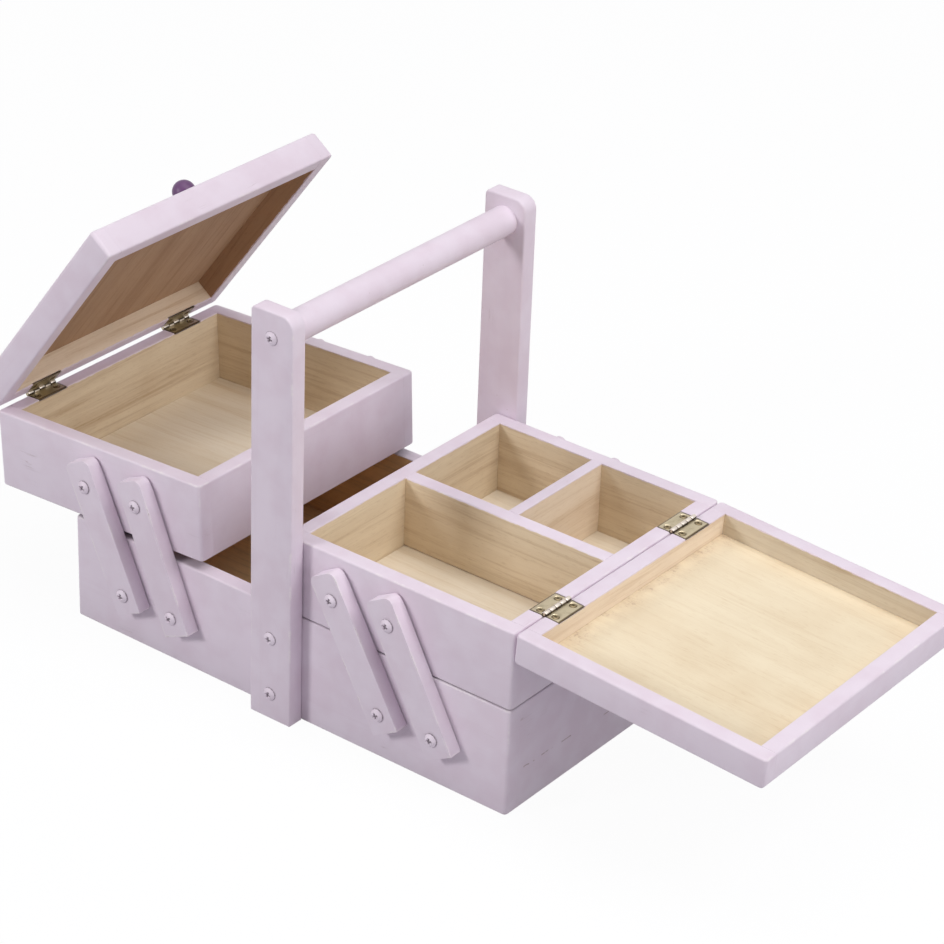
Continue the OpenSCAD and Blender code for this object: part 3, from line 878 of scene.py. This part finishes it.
class CARRIER_OT_handle(Operator):
    """Makes the two uprights and the round bar between them"""

    bl_idname = "carrier.handle"
    bl_label = "Handle"

    def execute(self, context):
        dims = sizes()
        for end, _, inward in LONG_SIDES:
            board("upright_" + end, "z", inward, "+x", material("solid"), ease=dims.arm_edge,
                  inner_ease=dims.edge, corner={dims.upright_left_corner: [("-x", "+z")],
                                                dims.upright_right_corner: [("+x", "+z")]})
        low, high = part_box("handle_bar")
        radius, half = (high.z - low.z) / 2, (high.y - low.y) / 2
        steps = 24
        profile = [(0.0, -half)]
        profile += [(radius, half * (2 * n / steps - 1)) for n in range(steps + 1)]
        profile += [(0.0, half)]
        place = Matrix.Translation((low + high) / 2) @ Matrix.Rotation(math.pi / 2, 4, "X")
        bar = lathe("shown_handle_bar", profile, 48, place)
        mark_board(bar, low, high, "y", "+z", "+x", BAR_NUMBER)
        dress(bar, "handle_bar", material("solid"))
        return {"FINISHED"}


class CARRIER_OT_knobs(Operator):
    """Makes the two ball knobs"""

    bl_idname = "carrier.knobs"
    bl_label = "Knobs"

    def execute(self, context):
        for side in SIDES:
            node = side + "_lid_knob"
            lie = LIES[BODY_OF[node]]
            low, high = lie.box(node)
            radius = (high.x - low.x) / 2
            face = lie.box(side + "_lid_panel")[1].z
            centre = high.z - radius
            steps = 20
            first = math.acos(min(1.0, (centre - face) / radius))
            profile = [(0.0, face)]
            for n in range(steps + 1):
                angle = math.pi - first - (math.pi - first) * n / steps
                profile.append((radius * math.sin(angle), centre + radius * math.cos(angle)))
            middle_at = Vector(((low.x + high.x) / 2, (low.y + high.y) / 2, 0.0))
            place = lie.turn.to_4x4() @ Matrix.Translation(middle_at)
            knob = lathe("shown_" + node, profile, 40, place)
            dress(knob, node, material("knob"))
        return {"FINISHED"}


SCREW_SIZES = ("Head Diameter", "Head Height", "Dome", "Slot Width", "Slot Depth", "Shank Diameter", "Length")


def screw_tree():
    """Geometry nodes that put a cross-recess screw on every point, along the point's aim."""
    group = bpy.data.node_groups.new("screws", "GeometryNodeTree")
    tree = Tree(group)
    kinds = {"Geometry": "Geometry", **dict.fromkeys(SCREW_SIZES, "Float"), "Seed": "Int",
             "Material": "Material"}
    for name, kind in kinds.items():
        group.interface.new_socket(name, in_out="INPUT", socket_type="NodeSocket" + kind)
    group.interface.new_socket("Geometry", in_out="OUTPUT", socket_type="NodeSocketGeometry")
    source = tree.add("NodeGroupInput").outputs
    given = {name: Value(tree, source[name]) for name in kinds}

    # A fine slab of 2 by 2 by 1 is bent into the head: its square outline becomes a circle.
    slab = tree.node("GeometryNodeMeshCube", {"Size": (2.0, 2.0, 1.0), "Vertices X": 37, "Vertices Y": 37,
                                              "Vertices Z": 4})
    x, y, level = tree.node("GeometryNodeInputPosition").parts()
    round_x = x * (1.0 - y ** 2.0 * 0.5).root()
    round_y = y * (1.0 - x ** 2.0 * 0.5).root()
    out = (round_x ** 2.0 + round_y ** 2.0).root()
    radius = given["Head Diameter"] * 0.5
    half_slot = given["Slot Width"] * 0.5 / radius
    near_slot = abs(round_x).least(abs(round_y)).ramp(half_slot * 1.25, half_slot * 0.7)
    recess = near_slot * out.ramp(0.52, 0.34)
    fall = 1.0 - out ** 2.2 * given["Dome"]
    dome = fall * given["Head Height"] - recess * given["Slot Depth"]
    spot = tree.vector(round_x * radius, round_y * radius, (level + 0.5) * dome)
    # The wear value is high in the recess and at the rim of the head, where the finishes paint both wear and
    # shade.
    wear = (recess * 0.9).most(out.ramp(0.88, 0.98, 0.0, 0.72))
    links = {"Geometry": slab, "Name": "wear", "Value": tree.vector(wear)}
    stored = tree.node("GeometryNodeStoreNamedAttribute", links, data_type="FLOAT_VECTOR", domain="POINT")
    head = tree.node("GeometryNodeSetPosition", {"Geometry": stored, "Position": spot})

    links = {"Vertices": 20, "Radius": given["Shank Diameter"] * 0.5, "Depth": given["Length"]}
    shank = tree.node("GeometryNodeMeshCylinder", links, fill_type="NGON")
    down = tree.vector(z=given["Length"] * -0.499)
    sunk = tree.node("GeometryNodeTransform", {"Geometry": shank, "Translation": down})
    whole = tree.add("GeometryNodeJoinGeometry", {"Geometry": head})
    tree.join(sunk, whole.inputs["Geometry"])

    aim = tree.node("GeometryNodeInputNamedAttribute", {"Name": "aim"}, data_type="FLOAT_VECTOR")
    facing = tree.node("FunctionNodeAlignRotationToVector", {"Vector": aim}, axis="Z")
    links = {2: 0.0, 3: math.pi / 2, "Seed": given["Seed"]}
    chance = tree.node("FunctionNodeRandomValue", links, 1, data_type="FLOAT")
    spin = tree.node("FunctionNodeAxisAngleToRotation", {"Axis": (0.0, 0.0, 1.0), "Angle": chance})
    links = {"Rotation": facing, "Rotate By": spin}
    turned = tree.node("FunctionNodeRotateRotation", links, rotation_space="LOCAL")
    links = {"Points": given["Geometry"], "Instance": Value(tree, whole.outputs[0]), "Rotation": turned}
    placed = tree.node("GeometryNodeInstanceOnPoints", links)
    real = tree.node("GeometryNodeRealizeInstances", {"Geometry": placed})
    painted = tree.node("GeometryNodeSetMaterial", {"Geometry": real, "Material": given["Material"]})
    tree.add("NodeGroupOutput", {0: painted})


def set_inputs(modifier, values):
    """Sets a modifier's inputs by the identifiers of its sockets."""
    for item in modifier.node_group.interface.items_tree:
        if item.in_out == "INPUT" and item.name in values:
            modifier[item.identifier] = values[item.name]


def screw_set(node, spots, aims, values, seed, finish):
    """One mesh of all the screws of a CAD node, with their heads' undersides at the given points."""
    mesh = bpy.data.meshes.new("shown_" + node)
    mesh.from_pydata(spots, [], [])
    write_vector(mesh, "aim", aims)
    piece = add_object("shown_" + node, mesh)
    if "screws" not in bpy.data.node_groups:
        screw_tree()
    made = piece.modifiers.new("screws", "NODES")
    made.node_group = bpy.data.node_groups["screws"]
    set_inputs(made, {**values, "Seed": seed, "Material": finish})
    apply_modifiers(piece)
    smooth(piece, 50.0)
    dress(piece, node, finish)


class CARRIER_OT_screws(Operator):
    """Makes the round-head screws of the pivots and the handle, painted over"""

    bl_idname = "carrier.screws"
    bl_label = "Round-head screws"

    def execute(self, context):
        dims = sizes()
        nodes = ("handle_screws", "base_pivot_screws", "left_tray_pivot_screws", "right_tray_pivot_screws")
        for seed, node in enumerate(nodes):
            spots, aims = [], []
            for points in solids(node):
                low, high = LIES["base"].span(points)
                centre = (low + high) / 2
                out = -1 if centre.y < 0 else 1
                radius = (high.x - low.x) / 2
                # The head is where the screw is widest.
                in_head = [p for p in points
                           if math.hypot(p.x - centre.x, p.z - centre.z) > radius * 0.98]
                under = min(p.y * out for p in in_head)
                spots.append((centre.x, under * out, centre.z))
                aims.append((0, out, 0))
                tall = max(high.y * out, low.y * out) - under
                deep = high.y - low.y - tall
            values = {"Head Diameter": radius * 2, "Head Height": tall, "Dome": 0.86,
                      "Slot Width": dims.slot_width, "Slot Depth": dims.slot_depth,
                      "Shank Diameter": radius * 0.98, "Length": deep * 0.9}
            screw_set(node, spots, aims, values, seed, material("screw"))
        return {"FINISHED"}


HINGE_SEED = 7


class CARRIER_OT_hinges(Operator):
    """Makes the leaves of the hinges with their knuckles, and the screws in them"""

    bl_idname = "carrier.hinges"
    bl_label = "Hinges"

    def execute(self, context):
        for side in SIDES:
            for part, sign in (("tray", 1), ("lid", -1)):
                heads = self.make_screws(side, part, sign)
                self.make_leaves(side, part, sign, heads)
            pins = frame["nodes"][side + "_hinge_pins"]
            pins.data.materials.clear()
            pins.data.materials.append(material("nickel"))
        return {"FINISHED"}

    def make_screws(self, side, part, sign):
        """Makes the screws of a pair of leaves, and gives each head's middle and diameter."""
        dims = sizes()
        node = f"{side}_hinge_{part}_screws"
        lie = LIES[BODY_OF[node]]
        heads = []
        for points in solids(node):
            low, high = lie.span(points)
            level = high.z if sign > 0 else low.z
            heads.append((Vector(((low.x + high.x) / 2, (low.y + high.y) / 2, level)), high.x - low.x))
        width = heads[0][1] * 0.93
        sink = Vector((0.0, 0.0, sign * dims.leaf_slot_depth))
        values = {"Head Diameter": width, "Head Height": dims.leaf_slot_depth + dims.leaf_dome,
                  "Dome": 0.55, "Slot Width": dims.leaf_slot_width, "Slot Depth": dims.leaf_slot_depth,
                  "Shank Diameter": width * 0.42, "Length": 5.0 * MM}
        spots = [lie.turn @ (at - sink) for at, _ in heads]
        screw_set(node, spots, [lie.up * sign] * len(heads), values, HINGE_SEED,
                  material("hinge_screw"))
        return heads

    def make_leaves(self, side, part, sign, heads):
        """Makes a pair of leaves, each with every other knuckle of its hinge."""
        dims = sizes()
        node = f"{side}_hinge_{part}_leaves"
        lie = LIES[BODY_OF[node]]
        out = OUTWARD[side]
        low, high = lie.box(f"{side}_{'tray_outer' if part == 'tray' else 'lid_hinge'}_end")
        rim = high.z if sign > 0 else low.z
        edge = high.x if out > 0 else low.x
        pins = lie.box(side + "_hinge_pins")
        axis = (pins[0] + pins[1]) / 2
        gap = dims.knuckle_gap / 2
        metal, tools = bmesh.new(), bmesh.new()
        for points in solids(node):
            low, high = lie.span(points)
            foot = low.z if sign > 0 else high.z
            inner, outer = (low.x, high.x) if out > 0 else (high.x, low.x)
            radius = abs(outer - axis.x)
            bottom, top = sorted((foot, rim))
            first, last = sorted((inner, edge - out * gap))
            add_box(metal, (first, low.y, bottom), (last, high.y, top), dims.leaf_edge)
            step = (high.y - low.y) / dims.knuckles
            for n in range(dims.knuckles):
                start, end = low.y + n * step, low.y + (n + 1) * step
                if n % 2 == (0 if part == "tray" else 1):
                    add_barrel(metal, axis, radius, start + gap, end - gap, dims.leaf_edge)
                    first, last = sorted((edge - out * 2 * radius, axis.x))
                    add_box(metal, (first, start + gap, bottom), (last, end - gap, top))
                else:
                    add_barrel(tools, axis, radius + gap, start, end)
        for at, width in heads:
            wide, narrow = width / 2 + gap, width / 4
            sink = abs(rim - foot)
            at_middle = Matrix.Translation((at.x, at.y, rim - sign * sink / 2))
            bmesh.ops.create_cone(tools, cap_ends=True, segments=32, depth=sink * 1.02, matrix=at_middle,
                                  radius1=narrow if sign > 0 else wide, radius2=wide if sign > 0 else narrow)
        leaves = add_mesh("shown_" + node, metal)
        subtract(leaves, tools, True)
        self.mark_leaves(leaves.data, [lie.span(points) for points in solids(node)], rim, out, sign)
        leaves.data.transform(lie.turn.to_4x4())
        smooth(leaves)
        dress(leaves, node, material("leaf"))

    def mark_leaves(self, mesh, spans, rim, out, sign):
        """Writes each point's place on its leaf: towards the knuckles, along the hinge and above it."""
        middles = [(low + high) / 2 for low, high in spans]
        half = (spans[0][1] - spans[0][0]) / 2
        places = [point.co - min(middles, key=lambda m: abs(m.y - point.co.y)) for point in mesh.vertices]
        write_vector(mesh, "board_at", [(at.x * out, at.y, at.z * sign) for at in places])
        leaf_top = (rim - middles[0].z) * sign
        write_vector(mesh, "board_half", [(half.x, half.y, leaf_top)] * len(places))


# Name, place in metres, width in metres and power in watts of each lamp.
LAMPS = (
    ("window", (-0.90, -1.78, 0.95), 0.5, 16.5),
    ("low_fill", (1.90, -0.25, 0.35), 1.4, 9.0),
    ("high_side", (1.10, 0.20, 1.55), 0.9, 13.0),
    ("ceiling", (0.0, 0.0, 2.0), 1.2, 11.0),
)


class CARRIER_OT_stage(Operator):
    """Makes the floor, the light and the camera"""

    bl_idname = "carrier.stage"
    bl_label = "Stage"

    def execute(self, context):
        self.make_floor()
        self.make_light()
        self.make_camera()
        return {"FINISHED"}

    def make_floor(self):
        work = bmesh.new()
        bmesh.ops.create_grid(work, x_segments=1, y_segments=1, size=3.0)
        ground = add_mesh("floor", work)
        finish = Finish("white_floor")
        finish.set(Base_Color=colours().floor, Roughness=0.9, Specular_IOR_Level=0.1)
        glow = finish.node("Emission", {"Strength": 1.06})
        surface = Value(finish, finish.shader.outputs[0])
        finish.show_white(surface, glow, 0.9, finish.tree.nodes["Material Output"])
        ground.data.materials.append(finish.material)

    def make_light(self):
        scene = bpy.context.scene
        scene.view_settings.view_transform = "Standard"
        world = bpy.data.worlds.new("soft_room")
        scene.world = world
        world.use_nodes = True
        room = Tree(world.node_tree)
        soft = room.node("Background", {"Color": (0.98, 0.98, 1.02), "Strength": 0.25})
        white = room.node("Background", {"Color": (1.0, 1.0, 1.0)})
        room.show_white(soft, white, 1.0, world.node_tree.nodes["World Output"])
        for name, spot, width, power in LAMPS:
            lamp = bpy.data.lights.new(name, "AREA")
            lamp.shape = "SQUARE"
            lamp.size = width
            lamp.energy = power
            holder = add_object(name, lamp)
            holder.location = spot
            holder.rotation_euler = (-Vector(spot)).to_track_quat("-Z", "Y").to_euler()

    def make_camera(self):
        view = bpy.context.scene.carrier_view
        heading, tilt, roll = view.heading, view.tilt, view.roll
        ahead = Vector((math.sin(heading) * math.cos(tilt), math.cos(heading) * math.cos(tilt),
                        math.sin(tilt)))
        level = Vector((math.cos(heading), -math.sin(heading), 0.0))
        over = level.cross(ahead)
        right = math.cos(roll) * level + math.sin(roll) * over
        up = -math.sin(roll) * level + math.cos(roll) * over
        eye = Vector((0.0, 0.0, view.height)) - ahead * view.distance + right * view.aside
        lens = bpy.data.cameras.new("camera")
        lens.lens = view.lens
        lens.sensor_width = view.sensor / MM
        lens.clip_end = 20.0
        camera = add_object("camera", lens)
        turned = Matrix((right, up, -ahead)).transposed().to_4x4()
        camera.matrix_world = Matrix.Translation(eye) @ turned
        bpy.context.scene.camera = camera


OPERATORS = (
    CARRIER_OT_stage,
    CARRIER_OT_base,
    CARRIER_OT_trays,
    CARRIER_OT_lids,
    CARRIER_OT_arms,
    CARRIER_OT_handle,
    CARRIER_OT_knobs,
    CARRIER_OT_screws,
    CARRIER_OT_hinges,
)


class CARRIER_PT_panel(Panel):
    """Lists the carrier's sizes, colours and operators"""

    bl_label = "Sewing carrier"
    bl_idname = "CARRIER_PT_panel"
    bl_space_type = "VIEW_3D"
    bl_region_type = "UI"
    bl_category = "Carrier"

    def draw(self, context):
        for group in (context.scene.carrier_sizes, context.scene.carrier_colours,
                      context.scene.carrier_view):
            for name in group.__annotations__:
                self.layout.prop(group, name)
        for operator in OPERATORS:
            self.layout.operator(operator.bl_idname)


GROUPS = {"carrier_sizes": CarrierSizes, "carrier_colours": CarrierColours, "carrier_view": CarrierView}


def register():
    for group in (*GROUPS.values(), *OPERATORS, CARRIER_PT_panel):
        bpy.utils.register_class(group)
    for name, group in GROUPS.items():
        setattr(bpy.types.Scene, name, PointerProperty(type=group))


def unregister():
    for name in GROUPS:
        delattr(bpy.types.Scene, name)
    for group in (CARRIER_PT_panel, *reversed(OPERATORS), *reversed(GROUPS.values())):
        bpy.utils.unregister_class(group)


def main():
    register()
    for operator in OPERATORS:
        group, name = operator.bl_idname.split(".")
        getattr(getattr(bpy.ops, group), name)()


if __name__ == "__main__":
    main()
